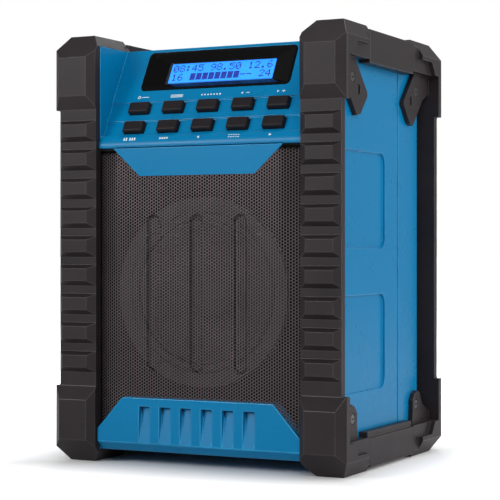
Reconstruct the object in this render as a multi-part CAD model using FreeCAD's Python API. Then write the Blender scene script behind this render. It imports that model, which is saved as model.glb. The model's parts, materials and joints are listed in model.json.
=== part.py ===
"""Jobsite radio: a blue moulded case in a black ribbed cage. Millimetres, +Z up, front towards -Y.

The origin is the bottom centre of the whole object.
"""
import FreeCAD, Part
import math
import os

V = FreeCAD.Vector

# Cage
height = 250.0
cap_half_width = 93.0
cap_half_depth = 79.0
cap_proud_side = 3.0
cap_proud_front = 1.0
post_width = 24.7
post_half_width = cap_half_width - cap_proud_side
post_inner = post_half_width - post_width
block_proud = 3.6
slab_thickness = 4.7
block_face = cap_half_depth - cap_proud_front
post_base = block_face - block_proud
post_back = post_base - slab_thickness
cap_length = 44.4
cap_top_low = height - cap_length + 0.3
cap_bottom_high = cap_length + 0.3
block_count = 9
first_block_gap = 8.1
block_pitch = (cap_top_low - cap_bottom_high - 10.0) / block_count
first_block_bottom = cap_bottom_high + first_block_gap
block_inner_bevel = 4.5
block_outer_bevel = 3.6
block_top_bevel = 2.0
block_face_height = 7.2
block_bottom_bevel = 2.9
cap_bevel_height = 7.8
cap_top_chamfer_z = 13.6
cap_top_chamfer_y = 13.0
cap_side_length = 45.0
rail_height = 19.0
rail_inset = 2.0
rail_lip_thickness = 7.0
rail_lip_inner = post_inner + 2.7
rail_relief = 1.6
ear_thickness = 3.0
screw_y = cap_half_depth - 30.0
upper_screw_z = height - 30.0
lower_screw_z = 30.4
frame_screw_radius = 1.6
frame_screw_head_radius = 2.8
bar_depth = 9.0
bar_front = cap_half_depth - bar_depth
bar_height = 18.0
bar_drop = 3.0

# Case
cage_side_gap = 7.0
case_half_width = post_half_width - cage_side_gap
ear_plane = case_half_width + ear_thickness
case_top = height - rail_lip_thickness
case_bottom = 8.0
case_front = post_back
cage_rear_gap = 6.3
case_rear = post_back - cage_rear_gap
split_y = case_rear - 37.9
side_wall = 3.2
wall = 2.6
rear_corner_radius = 7.0
seam_depth = 0.8
seam_width = 1.0
recess_depth = 1.5
recess_front = case_front - 11.7
recess_rear = split_y - 20.0
recess_corner = 6.5
recess_gap = 26.4
recess_low = 44.0
recess_high = height - 70.0
recess_middle = height / 2
side_recesses = ((recess_middle, recess_high), (recess_low, recess_middle - recess_gap))

# Front face and sloping panel
panel_half_width = post_inner - 0.1
front_face = post_base - 1.4
baffle_front = front_face - 9.5
baffle_thickness = 3.0
slope_mid_z = case_top - 25.5
slope_mid_y = 20.5 - front_face
slope_rate = 0.55
slope_wall = 2.6
lip_bottom = case_top - 59.8
lip_face = front_face - 1.6
lip_top = lip_bottom + 7.8
lip_bulge = 1.3
plate_top = lip_bottom - 0.6
plate_bottom = plate_top - 16.2
plate_half_top = panel_half_width - 10.9
plate_half_bottom = plate_half_top - 17.6
plate_thickness = 1.6
channel_depth = 0.8

# Buttons and display
button_columns = 5
button_pitch = 22.5
button_width = 13.0
button_height = 7.0
button_proud = 2.7
button_travel = 1.0
button_clearance = 0.25
button_row_z = (slope_mid_z - 11.0, slope_mid_z - 22.5)
flange_rim = 0.9
flange_thickness = 1.0
stem_width = 4.0
stem_length = 2.4
bezel_width = 96.8
bezel_height = 26.7
bezel_z = slope_mid_z + 11.8
bezel_depth = 3.0
window_width = 72.0
window_height = 16.5
window_thickness = 1.2
lcd_width = 80.0
lcd_height = 23.0
lcd_thickness = 4.5
switch_size = 6.0
switch_height = 3.0
board_thickness = 1.6
fit = 0.2

# Grille and lower trim
grille_thickness = 1.0
grille_bottom = 14.0
grille_edge_back = 3.6
grille_flat_half = panel_half_width - 11.2
groove_pitch = 27.8
groove_width = 9.0
groove_depth = 1.5
groove_bottom = 54.6
groove_top = plate_bottom - 22.0
trim_top = 39.3
trim_half_top = panel_half_width - 17.0
trim_shoulder = 20.5
trim_chamfer = 5.0
vent_count = 6
vent_pitch = 13.4
vent_width = 6.9
vent_bottom = case_bottom + 5.0
vent_top = trim_top - 5.1
vent_depth = 4.0

# Loudspeaker
speaker_z = 100.0
speaker_radius = 54.0
flange_plate = 1.5
gasket_thickness = 1.5
basket_hole = 47.0
cone_rim = 40.0
surround_inner = cone_rim + 0.3
cone_neck = 13.0
cone_depth = 18.0
coil_gap = 0.3
dust_radius = 17.0
basket_depth = 30.0
magnet_radius = 36.0
magnet_length = 20.0
speaker_screw_circle = 50.5

# Rear
hand_half_width = 50.0
hand_front = case_rear - 25.4
hand_bottom = case_top - 40.0
bay_half_width = 50.0
bay_bottom = 20.0
bay_top = 92.0
bay_front = case_rear - 31.4
bay_wall = 2.0
door_thickness = 2.5
door_lap = 4.0
hinge_radius = 2.0
pin_radius = 0.7
pin_length = 1.5
cell_radius = 9.2
cell_length = 65.0
cell_count = 5
socket_centre_z = bay_top + 48.0
socket_panel_width = 62.0
socket_panel_height = 22.0
flap_thickness = 2.0
socket_pitch = 18.0
socket_bore_depth = 9.0
dc_bore_radius = 2.8
dc_pin_radius = 1.05
aux_bore_radius = 1.8
board_y = case_rear - 27.4
main_board_half_width = 58.0
main_board_bottom = bay_top + 12.0
main_board_top = hand_bottom - 23.0
tuner_offset = 16.0
tuner_width = 30.0
tuner_height = 40.0
tuner_thickness = 5.0
sink_offset = 8.0
sink_width = 40.0
sink_height = 36.0
sink_depth = 16.0
fin_count = 8
case_screw_x = hand_half_width + 8.0
case_screw_z = (case_bottom + 7.5, hand_bottom + 19.0)
case_screw_radius = 1.5
case_screw_head = 2.8
boss_radius = 4.5
antenna_x = hand_half_width + 7.0
antenna_z = hand_bottom - 7.0
antenna_y = case_rear + 3.1
mast_radii = (2.5, 1.8, 1.1)
mast_length = 104.0
mast_bore_gap = 0.08
antenna_tip_radius = 2.5

slope_norm = math.hypot(slope_rate, 1.0)
slope_up = V(0, slope_rate / slope_norm, 1 / slope_norm)
slope_out = V(0, -1 / slope_norm, slope_rate / slope_norm)
slope_origin = V(0, slope_mid_y, slope_mid_z)


def box(x0, x1, y0, y1, z0, z1):
    """Box between two corners."""
    return Part.makeBox(x1 - x0, y1 - y0, z1 - z0, V(x0, y0, z0))


def prism(points, direction):
    """Polygon through 3-D points, pushed along a vector."""
    face = Part.Face(Part.makePolygon(points + [points[0]]))
    return face.extrude(direction)


def prism_yz(points, x0, x1):
    """Polygon of (y, z) points between two X planes."""
    return prism([V(x0, y, z) for y, z in points], V(x1 - x0, 0, 0))


def prism_xz(points, y0, y1):
    """Polygon of (x, z) points between two Y planes."""
    return prism([V(x, y0, z) for x, z in points], V(0, y1 - y0, 0))


def prism_xy(points, z0, z1):
    """Polygon of (x, y) points between two Z planes."""
    return prism([V(x, y, z0) for x, y in points], V(0, 0, z1 - z0))


def rod(x, y, z, direction, radius, length):
    """Cylinder from a point along a vector."""
    return Part.makeCylinder(radius, length, V(x, y, z), direction)


def revolve_y(profile, x, z):
    """Ring from a profile of (radius, y) points, turned about a line along Y."""
    points = [V(x + r, y, z) for r, y in profile]
    face = Part.Face(Part.makePolygon(points + [points[0]]))
    return face.revolve(V(x, 0, z), V(0, 1, 0), 360)


def mirror_x(shape):
    """Copy on the other side of the middle plane."""
    return shape.mirror(V(0, 0, 0), V(1, 0, 0))


def mirror_y(shape):
    """Copy at the other end, front to rear."""
    return shape.mirror(V(0, 0, 0), V(0, 1, 0))


def on_slope(x, s, t):
    """Point of the sloping panel: across, up the slope, and out of it."""
    return V(x, 0, 0) + slope_origin + slope_up * s + slope_out * t


def slope_s(z):
    """Distance up the slope of the panel's point at height z."""
    return (z - slope_mid_z) * slope_norm


def slope_box(x0, x1, s0, s1, t0, t1):
    """Box set square to the sloping panel."""
    corners = [on_slope(x0, s0, t0), on_slope(x1, s0, t0), on_slope(x1, s1, t0), on_slope(x0, s1, t0)]
    return prism(corners, slope_out * (t1 - t0))


def rounded_slope_box(x0, x1, s0, s1, t0, t1, radius):
    """Slope box whose four edges square to the panel are rounded."""
    solid = slope_box(x0, x1, s0, s1, t0, t1)
    edges = [e for e in solid.Edges if abs(abs(e.tangentAt(e.FirstParameter).dot(slope_out)) - 1) < 1e-6]
    return solid.makeFillet(radius, edges)


def rounded_box_x(x0, x1, y0, y1, z0, z1, radius):
    """Box whose edges along X are rounded."""
    solid = box(x0, x1, y0, y1, z0, z1)
    edges = [e for e in solid.Edges if abs(abs(e.tangentAt(e.FirstParameter).x) - 1) < 1e-6]
    return solid.makeFillet(radius, edges)


def loft(lower, upper):
    """Ruled solid between two polygons with the same number of corners."""
    wires = [Part.makePolygon(points + [points[0]]) for points in (lower, upper)]
    return Part.makeLoft(wires, True, True)


def save(name, shape):
    """Write one sub-part."""
    shape.exportStep("parts/%s.step" % name)


# Cage pieces

def rib_block(bottom):
    """One raised block of the front right post."""
    low = bottom
    high = bottom + block_bottom_bevel + block_face_height + block_top_bevel
    base = [V(post_inner, -post_base, low), V(post_half_width, -post_base, low),
            V(post_half_width, -post_base, high), V(post_inner, -post_base, high)]
    x0 = post_inner + block_inner_bevel
    x1 = post_half_width - block_outer_bevel
    z0 = low + block_bottom_bevel
    z1 = high - block_top_bevel
    face = [V(x0, -block_face, z0), V(x1, -block_face, z0), V(x1, -block_face, z1), V(x0, -block_face, z1)]
    return loft(base, face)


def corner_cap(low, high, top):
    """Faceted corner block of the front right post; top says which end it is."""
    solid = box(post_inner, cap_half_width, -cap_half_depth, -cap_half_depth + cap_side_length, low, high)
    far = 400.0
    end = high if top else low
    other = low if top else high
    up = 1 if top else -1
    y_front = -cap_half_depth
    cuts = [
        prism_yz([(y_front - 1, end - up * cap_top_chamfer_z - up * cap_top_chamfer_z / cap_top_chamfer_y),
                  (y_front + cap_top_chamfer_y + 1, end + up * cap_top_chamfer_z / cap_top_chamfer_y),
                  (y_front - 1, end + up * 9)], 0, far),
        prism_yz([(y_front - 1, other - up * 1.7), (-post_base + 0.01, other),
                  (y_front, other + up * cap_bevel_height), (y_front - 1, other + up * cap_bevel_height)], 0, far),
        prism_xy([(post_inner - 1, y_front + block_outer_bevel + 0.8), (post_inner + block_inner_bevel + 1, y_front - 1),
                  (post_inner - 1, y_front - 1)], -far, far),
        prism_xy([(cap_half_width + 1, y_front + 6.0), (cap_half_width - 6.0, y_front - 1),
                  (cap_half_width + 1, y_front - 1)], -far, far),
        prism_xz([(cap_half_width + 1, end - up * 10.7), (cap_half_width - 5.3, end),
                  (cap_half_width - 5.3, end + up * 2), (cap_half_width + 1, end + up * 2)], -far, far),
        prism_xz([(post_inner - 1, end - up * 8.2), (post_inner + 6.0, end),
                  (post_inner + 6.0, end + up * 2), (post_inner - 1, end + up * 2)], -far, far),
    ]
    inner_y = y_front + cap_side_length
    arm_y, knee_y, tail_y = y_front + 11.5, y_front + 21.0, y_front + 37.0
    shallow = [(arm_y, other - up * 3), (arm_y, end - up * 23.5), (knee_y, end - up * 11.5),
               (tail_y, end - up * 11.5), (tail_y, end + up * 2), (inner_y + 1, end + up * 2),
               (inner_y + 1, other - up * 3)]
    cuts.append(prism_yz(shallow, post_half_width, far))
    cuts.append(prism_yz([(-post_back, other - up * 3), (-post_back, end - up * rail_height),
                          (inner_y + 1, end - up * rail_height), (inner_y + 1, other - up * 3)], 0, far))
    behind = box(0, case_half_width, -case_front, inner_y + 1, case_bottom, case_top)
    cuts.append(behind)
    for cutter in cuts:
        solid = solid.cut(cutter)
    return solid


def ear(points, hole_z):
    """Screwed ear of the front right post, lying on the case's side."""
    plate = prism_yz(points, case_half_width, ear_plane)
    hole = rod(case_half_width - 1, -screw_y, hole_z, V(1, 0, 0), frame_screw_radius + 0.1, 9)
    sink = rod(ear_plane - 1.6, -screw_y, hole_z, V(1, 0, 0), frame_screw_head_radius + 0.3, 9)
    return plate.cut(hole).cut(sink)


def front_right_post():
    """Front right post: slab, blocks, two corner caps and two ears."""
    slab = box(post_inner, post_half_width, -post_base, -post_back, 20.0, height - 20.0)
    post = slab
    for i in range(block_count):
        post = post.fuse(rib_block(first_block_bottom + i * block_pitch))
    post = post.fuse(corner_cap(cap_top_low, height, True))
    post = post.fuse(corner_cap(0.0, cap_bottom_high, False))
    y, z = -screw_y, upper_screw_z
    upper = [(-post_back, height - rail_height + 1), (y + 2.0, height - rail_height + 1), (y + 20.5, z - 7.0),
             (y + 20.5, z - 9.5), (y + 10.5, z - 20.0), (y + 5.5, z - 21.0), (y - 11.0, z - 4.0), (-post_back, z)]
    top_ear = ear(upper, upper_screw_z)
    slot = prism_yz([(y + 7.5, z - 10.0), (y + 10.2, z - 8.0), (y + 10.2, z - 4.5), (y + 7.5, z - 3.0)],
                    case_half_width + 1.0, cap_half_width)
    z = lower_screw_z
    lower = [(-post_back, rail_height), (y + 7.0, rail_height), (y + 5.5, z - 3.0), (y + 5.7, z + 3.0),
             (y + 2.5, z + 6.6), (y - 1.5, z + 8.2), (y - 5.5, z + 7.2), (y - 10.0, z - 0.4), (-post_back, z - 5.4)]
    post = post.fuse(top_ear.cut(slot)).fuse(ear(lower, lower_screw_z))
    return post.removeSplitter()


def rail(top):
    """Right edge rail between the corner caps, L-shaped over the case's edge."""
    end = -cap_half_depth + cap_side_length
    if top:
        z0, z1 = height - rail_height - rail_inset, height - rail_inset
        lip0, lip1 = case_top, z1
    else:
        z0, z1 = rail_inset, rail_inset + rail_height + 1
        lip0, lip1 = z0, case_bottom
    side = box(case_half_width, post_half_width, end, -end, z0, z1)
    lip = box(rail_lip_inner, post_half_width, end, -end, lip0, lip1)
    body = side.fuse(lip)
    if not top:
        relief = prism_yz([(end - 1, z1 - 3.5), (-end + 1, z1 - 3.5), (-end + 1, z1 + 1), (end - 1, z1 + 1)],
                          post_half_width - rail_relief, post_half_width + 1)
        body = body.cut(relief)
    return body.removeSplitter()


def carry_bar():
    """Grip bar between the rear top corner blocks."""
    top = height - bar_drop
    bar = rounded_box_x(-post_inner, post_inner, bar_front, cap_half_depth, top - bar_height, top, 3.5)
    return bar


# Case pieces

def seam_cut(y0, y1):
    """Ring that narrows a shell's rim beside the seam."""
    outer = box(-case_half_width - 1, case_half_width + 1, y0, y1, case_bottom - 1, case_top + 1)
    inner = box(-case_half_width + seam_depth, case_half_width - seam_depth, y0, y1,
                case_bottom + seam_depth, case_top - seam_depth)
    return outer.cut(inner)


def slope_y(z):
    """Depth of the sloping panel's surface at height z."""
    return slope_mid_y + (z - slope_mid_z) * slope_rate


def lip_roll():
    """Rounded roll along the foot of the sloping panel."""
    y0, y1 = -lip_face, slope_y(lip_top)
    arc = Part.Arc(V(0, y1, lip_top), V(0, (y0 + y1) / 2 - lip_bulge, (lip_bottom + lip_top) / 2 + lip_bulge / 2),
                   V(0, y0, lip_bottom)).toShape()
    corners = [V(0, y0, lip_bottom), V(0, -baffle_front, lip_bottom), V(0, -baffle_front, lip_top), V(0, y1, lip_top)]
    lines = [Part.makeLine(corners[i], corners[i + 1]) for i in range(3)]
    roll = Part.Face(Part.Wire([arc] + lines)).extrude(V(2 * panel_half_width, 0, 0))
    roll.translate(V(-panel_half_width, 0, 0))
    return roll


def front_shell():
    """Blue front half with baffle, sloping panel, side recesses and bare trapezoid plate."""
    outer = box(-case_half_width, case_half_width, -case_front, split_y, case_bottom, case_top)
    mouth = box(-panel_half_width, panel_half_width, -90, -baffle_front, case_bottom - 1, lip_bottom)
    slope_cut = prism_yz([(-90, lip_bottom), (slope_y(lip_bottom), lip_bottom), (slope_y(case_top + 5), case_top + 5),
                          (-90, case_top + 5)], -panel_half_width, panel_half_width)
    shell = outer.cut(mouth).cut(slope_cut).fuse(lip_roll())
    for z in button_row_z:
        s = slope_s(z)
        shell = shell.cut(slope_box(-panel_half_width, panel_half_width, s - 4.9, s + 4.6, -channel_depth, 20))
    # Hollow inside, behind the baffle and behind the slope
    inner_y = -baffle_front + baffle_thickness
    back = slope_wall * slope_norm
    ledge = lip_bottom + 4
    hollow = prism_yz([(inner_y, case_bottom + wall), (inner_y, ledge), (slope_y(ledge) + back, ledge),
                       (slope_y(case_top - wall) + back, case_top - wall), (split_y + 1, case_top - wall),
                       (split_y + 1, case_bottom + wall)],
                      -case_half_width + side_wall, case_half_width - side_wall)
    shell = shell.cut(hollow)
    plate = prism_xz([(-plate_half_bottom, plate_bottom), (plate_half_bottom, plate_bottom),
                      (plate_half_top, plate_top), (-plate_half_top, plate_top)],
                     -front_face - 0.4, -front_face + plate_thickness - 0.4)
    web = box(-plate_half_bottom, plate_half_bottom, -front_face + 1, -baffle_front, plate_top - 5, plate_top)
    web = web.fuse(box(-panel_half_width, panel_half_width, -lip_face + 2, -baffle_front, plate_top - 1, lip_bottom))
    shell = shell.fuse(plate).fuse(web)
    # Holes for the loudspeaker, display and buttons
    shell = shell.cut(rod(0, -baffle_front - 1, speaker_z, V(0, 1, 0), basket_hole + 0.3, baffle_thickness + 2))
    s = slope_s(bezel_z)
    shell = shell.cut(rounded_slope_box(-bezel_width / 2 - fit, bezel_width / 2 + fit, s - bezel_height / 2 - fit,
                                        s + bezel_height / 2 + fit, -slope_wall - 6, 10, 3.2))
    for x, z in button_places():
        s = slope_s(z)
        half_w = button_width / 2 + button_clearance
        half_h = button_height / 2 + button_clearance
        shell = shell.cut(slope_box(x - half_w, x + half_w, s - half_h, s + half_h, -slope_wall - 6, 10))
    for low, high in side_recesses:
        pocket = rounded_box_x(case_half_width - recess_depth, case_half_width + 1, -recess_front, recess_rear,
                               low, high, recess_corner)
        shell = shell.cut(pocket).cut(mirror_x(pocket))
    for x in (-case_screw_x, case_screw_x):
        for z in case_screw_z:
            boss = rod(x, split_y - 22, z, V(0, 1, 0), boss_radius, 22)
            edge = case_top - wall if z > height / 2 else case_bottom + wall
            low, high = sorted((z, edge + (0.5 if z > height / 2 else -0.5)))
            rib = box(x - 1, x + 1, split_y - 22, split_y - 1, low, high)
            pilot = rod(x, split_y - 20, z, V(0, 1, 0), case_screw_radius + 0.05, 21)
            shell = shell.fuse(boss).fuse(rib).cut(pilot)
    for sign in (-1, 1):
        for z in (upper_screw_z, lower_screw_z):
            shell = shell.cut(rod(sign * (case_half_width + 1), -screw_y, z, V(-sign, 0, 0),
                                  frame_screw_radius + 0.05, side_wall + 2))
    shell = shell.cut(seam_cut(split_y - seam_width, split_y))
    return shell.removeSplitter()


def button_places():
    """Centres (x, z) of the ten push buttons."""
    first = -(button_columns - 1) / 2 * button_pitch
    return [(first + i * button_pitch, z) for z in button_row_z for i in range(button_columns)]


def button(x, z):
    """Push button: cap, flange behind the panel, and stem towards its switch."""
    s = slope_s(z)
    cap = slope_box(x - button_width / 2, x + button_width / 2, s - button_height / 2, s + button_height / 2,
                    -slope_wall - 0.2, button_proud)
    top = [e for e in cap.Edges if all(abs((v.Point - slope_origin).dot(slope_out) - button_proud) < 1e-6
                                       for v in e.Vertexes)]
    cap = cap.makeChamfer(0.7, top)
    half_w = button_width / 2 + flange_rim
    half_h = button_height / 2 + flange_rim
    back = -slope_wall - 0.2
    flange = slope_box(x - half_w, x + half_w, s - half_h, s + half_h, back - flange_thickness, back)
    stem = slope_box(x - stem_width / 2, x + stem_width / 2, s - stem_width / 2, s + stem_width / 2,
                     back - flange_thickness - stem_length, back)
    return cap.fuse(flange).fuse(stem).removeSplitter()


def switch_top():
    """Depth behind the panel at which a tact switch's plunger ends."""
    return -slope_wall - 0.2 - flange_thickness - stem_length - button_travel - fit


def tact_switches():
    """Ten tact switches on the control board."""
    top = switch_top()
    solids = []
    for x, z in button_places():
        s = slope_s(z)
        half = switch_size / 2
        body = slope_box(x - half, x + half, s - half, s + half, top - switch_height, top - 0.7)
        pin = Part.makeCylinder(1.6, 0.7, on_slope(x, s, top - 0.7), slope_out)
        solids.append(body.fuse(pin))
    return Part.makeCompound(solids)


def control_board():
    """Board behind the buttons and the display."""
    top = switch_top() - switch_height
    return slope_box(-60, 60, slope_s(button_row_z[1]) - 6, slope_s(bezel_z) + 10, top - board_thickness, top)


def display_bezel():
    """Glossy funnel-shaped frame of the display."""
    s = slope_s(bezel_z)
    outer = rounded_slope_box(-bezel_width / 2, bezel_width / 2, s - bezel_height / 2, s + bezel_height / 2,
                              -bezel_depth - window_thickness - 1, 0.3, 3.0)
    rim_w, rim_h = bezel_width / 2 - 1.2, bezel_height / 2 - 1.2
    floor_w, floor_h = window_width / 2 - 1, window_height / 2 - 1
    rim = [on_slope(a * rim_w, s + b * rim_h, 0.31) for a, b in ((-1, -1), (1, -1), (1, 1), (-1, 1))]
    floor = [on_slope(a * floor_w, s + b * floor_h, -bezel_depth) for a, b in ((-1, -1), (1, -1), (1, 1), (-1, 1))]
    seat = slope_box(-window_width / 2, window_width / 2, s - window_height / 2, s + window_height / 2,
                     -bezel_depth - window_thickness - 2, -bezel_depth)
    through = slope_box(-floor_w, floor_w, s - floor_h, s + floor_h, -20, 0)
    return outer.cut(loft(floor, rim)).cut(seat).cut(through)


def display_window():
    """Clear window seated in the bezel."""
    s = slope_s(bezel_z)
    return slope_box(-window_width / 2, window_width / 2, s - window_height / 2, s + window_height / 2,
                     -bezel_depth - window_thickness, -bezel_depth)


def lcd_module():
    """Character display behind the window, down to the control board."""
    s = slope_s(bezel_z)
    front = -bezel_depth - window_thickness - 1
    return slope_box(-lcd_width / 2, lcd_width / 2, s - lcd_height / 2, s + lcd_height / 2,
                     switch_top() - switch_height, front)


def speaker_grille():
    """Metal grille: flat middle, swept-back sides and three embossed grooves."""
    back = -front_face + grille_thickness
    edge = panel_half_width - fit
    outline = [(-edge, -front_face + grille_edge_back), (-grille_flat_half, -front_face),
               (grille_flat_half, -front_face), (edge, -front_face + grille_edge_back),
               (edge, back + grille_edge_back), (grille_flat_half, back), (-grille_flat_half, back),
               (-edge, back + grille_edge_back)]
    sheet = prism_xy(outline, grille_bottom, plate_top - 1 - fit)
    flanges = [box(x0, x1, -front_face + grille_edge_back + 0.5, -baffle_front, grille_bottom, plate_bottom)
               for x0, x1 in ((-edge, -edge + 1), (edge - 1, edge))]
    for flange in flanges:
        sheet = sheet.fuse(flange)
    for i in (-1, 0, 1):
        sheet = sheet.cut(groove(i * groove_pitch, groove_width / 2 + 0.8, -front_face - 1, groove_depth + 1))
        tray = groove(i * groove_pitch, groove_width / 2 + 0.8, -front_face, groove_depth + grille_thickness)
        sheet = sheet.fuse(tray.cut(groove(i * groove_pitch, groove_width / 2, -front_face - 1, groove_depth + 1)))
    plate = prism_xz([(-plate_half_bottom - 0.5, plate_bottom - fit), (plate_half_bottom + 0.5, plate_bottom - fit),
                      (plate_half_top + 1.2, lip_bottom), (-plate_half_top - 1.2, lip_bottom)], -90, -60)
    trim = lower_outline(fit)
    return sheet.cut(plate).cut(prism_xz(trim, -90, -60)).removeSplitter()


def groove(x, half, y, depth):
    """Upright round-ended solid for one groove of the grille."""
    low, high = groove_bottom + half, groove_top - half
    body = box(x - half, x + half, y, y + depth, low, high)
    for z in (low, high):
        body = body.fuse(rod(x, y, z, V(0, 1, 0), half, depth))
    return body


def lower_outline(grow):
    """Outline (x, z) of the lower trim, grown for a clearance."""
    edge = panel_half_width - fit if grow == 0 else panel_half_width + 1
    return [(-edge, case_bottom), (edge, case_bottom), (edge, trim_shoulder + grow),
            (trim_half_top + grow, trim_top + grow), (-trim_half_top - grow, trim_top + grow),
            (-edge, trim_shoulder + grow)]


def lower_trim():
    """Blue foot of the front with its wedge-shaped vent pockets."""
    trim = prism_xz(lower_outline(0), -front_face - 0.6, -baffle_front)
    chamfer = prism_yz([(-front_face - 2, case_bottom + trim_chamfer), (-front_face - 0.6, case_bottom + trim_chamfer),
                        (-front_face + trim_chamfer - 0.6, case_bottom), (-front_face - 2, case_bottom)],
                       -panel_half_width, panel_half_width)
    trim = trim.cut(chamfer)
    for i in range(vent_count):
        x = (i - (vent_count - 1) / 2) * vent_pitch
        face = -front_face - 0.6
        pocket = prism_yz([(face - 1, vent_bottom), (face, vent_bottom), (face + vent_depth, vent_top),
                           (face - 1, vent_top)], x - vent_width / 2, x + vent_width / 2)
        trim = trim.cut(pocket)
    return trim


# Loudspeaker pieces, on one axis along Y

def speaker_basket():
    """Pressed frame: flange, conical legs with windows, and back plate."""
    front = -baffle_front - flange_plate
    rear = -baffle_front + basket_depth
    shell = revolve_y([(surround_inner + 5.5, front), (speaker_radius, front), (speaker_radius, -baffle_front),
                       (basket_hole, -baffle_front), (basket_hole, -baffle_front + baffle_thickness + 1),
                       (cone_neck + 16, rear), (cone_neck + 3, rear), (cone_neck + 3, rear - 1.5),
                       (cone_neck + 14.5, rear - 1.5), (basket_hole - 1.5, -baffle_front + baffle_thickness),
                       (surround_inner + 5.5, -baffle_front + 1)], 0, speaker_z)
    for i in range(6):
        window = box(-8, 8, -baffle_front + baffle_thickness + 4, rear - 6, speaker_z + 20, speaker_z + 60)
        window.rotate(V(0, 0, speaker_z), V(0, 1, 0), i * 60)
        shell = shell.cut(window)
    for x, z in speaker_screw_places():
        shell = shell.cut(rod(x, front - 1, z, V(0, 1, 0), frame_screw_radius + 0.05, flange_plate + 2))
    return shell


def basket_inner(y):
    """Inner radius of the basket's cone at depth y."""
    y0, r0 = -baffle_front + baffle_thickness, basket_hole - 1.5
    y1, r1 = -baffle_front + basket_depth - 1.5, cone_neck + 14.5
    return r0 + (r1 - r0) * (y - y0) / (y1 - y0)


def speaker_screw_places():
    """Centres (x, z) of the loudspeaker's four screws."""
    reach = speaker_screw_circle / math.sqrt(2)
    return [(a * reach, speaker_z + b * reach) for a in (-1, 1) for b in (-1, 1)]


def speaker_gasket():
    """Ring in front of the flange, clear of the screw heads."""
    front = -baffle_front - flange_plate - gasket_thickness
    ring = revolve_y([(surround_inner + 6.0, front), (speaker_radius, front),
                      (speaker_radius, front + gasket_thickness), (surround_inner + 6.0, front + gasket_thickness)],
                     0, speaker_z)
    for x, z in speaker_screw_places():
        ring = ring.cut(rod(x, front - 1, z, V(0, 1, 0), frame_screw_head_radius + 0.3, gasket_thickness + 2))
    return ring


def speaker_screws():
    """Four screws through the flange into the baffle."""
    solids = []
    for x, z in speaker_screw_places():
        head = rod(x, -baffle_front - flange_plate - 1.3, z, V(0, 1, 0), frame_screw_head_radius, 1.3)
        shank = rod(x, -baffle_front - flange_plate - 0.2, z, V(0, 1, 0), frame_screw_radius, flange_plate + 0.2)
        solids.append(head.fuse(shank))
    return Part.makeCompound(solids)


def speaker_surround():
    """Half-roll rubber ring between the cone and the flange."""
    mid = surround_inner + 3.0
    front = -baffle_front - flange_plate
    outer = Part.makeTorus(mid, 3.0, V(0, front, speaker_z), V(0, 1, 0))
    inner = Part.makeTorus(mid, 2.2, V(0, front, speaker_z), V(0, 1, 0))
    half = rod(0, front - 5, speaker_z, V(0, 1, 0), mid + 10, 5)
    roll = outer.cut(inner).common(half)
    rim = revolve_y([(mid + 2.3, front), (surround_inner + 5.5, front), (surround_inner + 5.5, front + 0.8),
                     (mid + 2.3, front + 0.8)], 0, speaker_z)
    return roll.fuse(rim)


def speaker_cone():
    """Paper cone."""
    front = -baffle_front - flange_plate
    return revolve_y([(cone_rim - 1.5, front - 0.4), (cone_rim, front - 0.4), (cone_rim, front + 0.4),
                      (cone_neck + 0.9, front + cone_depth), (cone_neck, front + cone_depth),
                      (cone_neck, front + cone_depth - 0.8)], 0, speaker_z)


def dust_cap():
    """Domed cap glued on the cone."""
    front = -baffle_front - flange_plate
    rate = (cone_depth - 0.4) / (cone_rim - 1.5 - cone_neck)
    seat = front - 0.4 + (cone_rim - 1.5 - dust_radius) * rate
    dome_radius = dust_radius * 1.25
    rise = dome_radius - math.sqrt(dome_radius ** 2 - dust_radius ** 2)
    centre = V(0, seat - rise + dome_radius, speaker_z)
    shell = Part.makeSphere(dome_radius, centre).cut(Part.makeSphere(dome_radius - 0.8, centre))
    return shell.common(rod(0, seat - rise - 1, speaker_z, V(0, 1, 0), dust_radius, rise + 0.9))


def voice_coil():
    """Coil former behind the cone."""
    start = -baffle_front - flange_plate + cone_depth
    return revolve_y([(cone_neck - 0.5, start), (cone_neck + 0.2, start), (cone_neck + 0.2, start + 14),
                      (cone_neck - 0.5, start + 14)], 0, speaker_z)


def speaker_spider():
    """Corrugated centring disc held by the basket."""
    y = -baffle_front + basket_depth - 5
    inner, outer = cone_neck + 0.2 + coil_gap, basket_inner(y + 1.6)
    points = []
    steps = 12
    for i in range(steps + 1):
        r = inner + (outer - inner) * i / steps
        points.append((r, y + (0.9 if i % 2 else 0)))
    back = [(r, w + 0.6) for r, w in reversed(points)]
    return revolve_y(points + back, 0, speaker_z)


def speaker_magnet():
    """Magnet system: front plate, ring, back plate and pole, with the coil's gap."""
    y0 = -baffle_front + basket_depth
    y1 = y0 + magnet_length
    outer_gap = cone_neck + 0.2 + coil_gap
    inner_gap = cone_neck - 0.5 - coil_gap
    return revolve_y([(0, y0), (inner_gap, y0), (inner_gap, y1 - 6), (outer_gap, y1 - 6), (outer_gap, y0),
                      (magnet_radius - 3, y0), (magnet_radius - 3, y0 + 4), (magnet_radius, y0 + 4),
                      (magnet_radius, y1 - 4), (magnet_radius - 3, y1 - 4), (magnet_radius - 3, y1), (0, y1)],
                     0, speaker_z)


# Rear pieces

def socket_places():
    """X places of the three sockets and their hole radii."""
    return [(-socket_pitch, 4.5), (0, 3.6), (socket_pitch, 4.9)]


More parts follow.
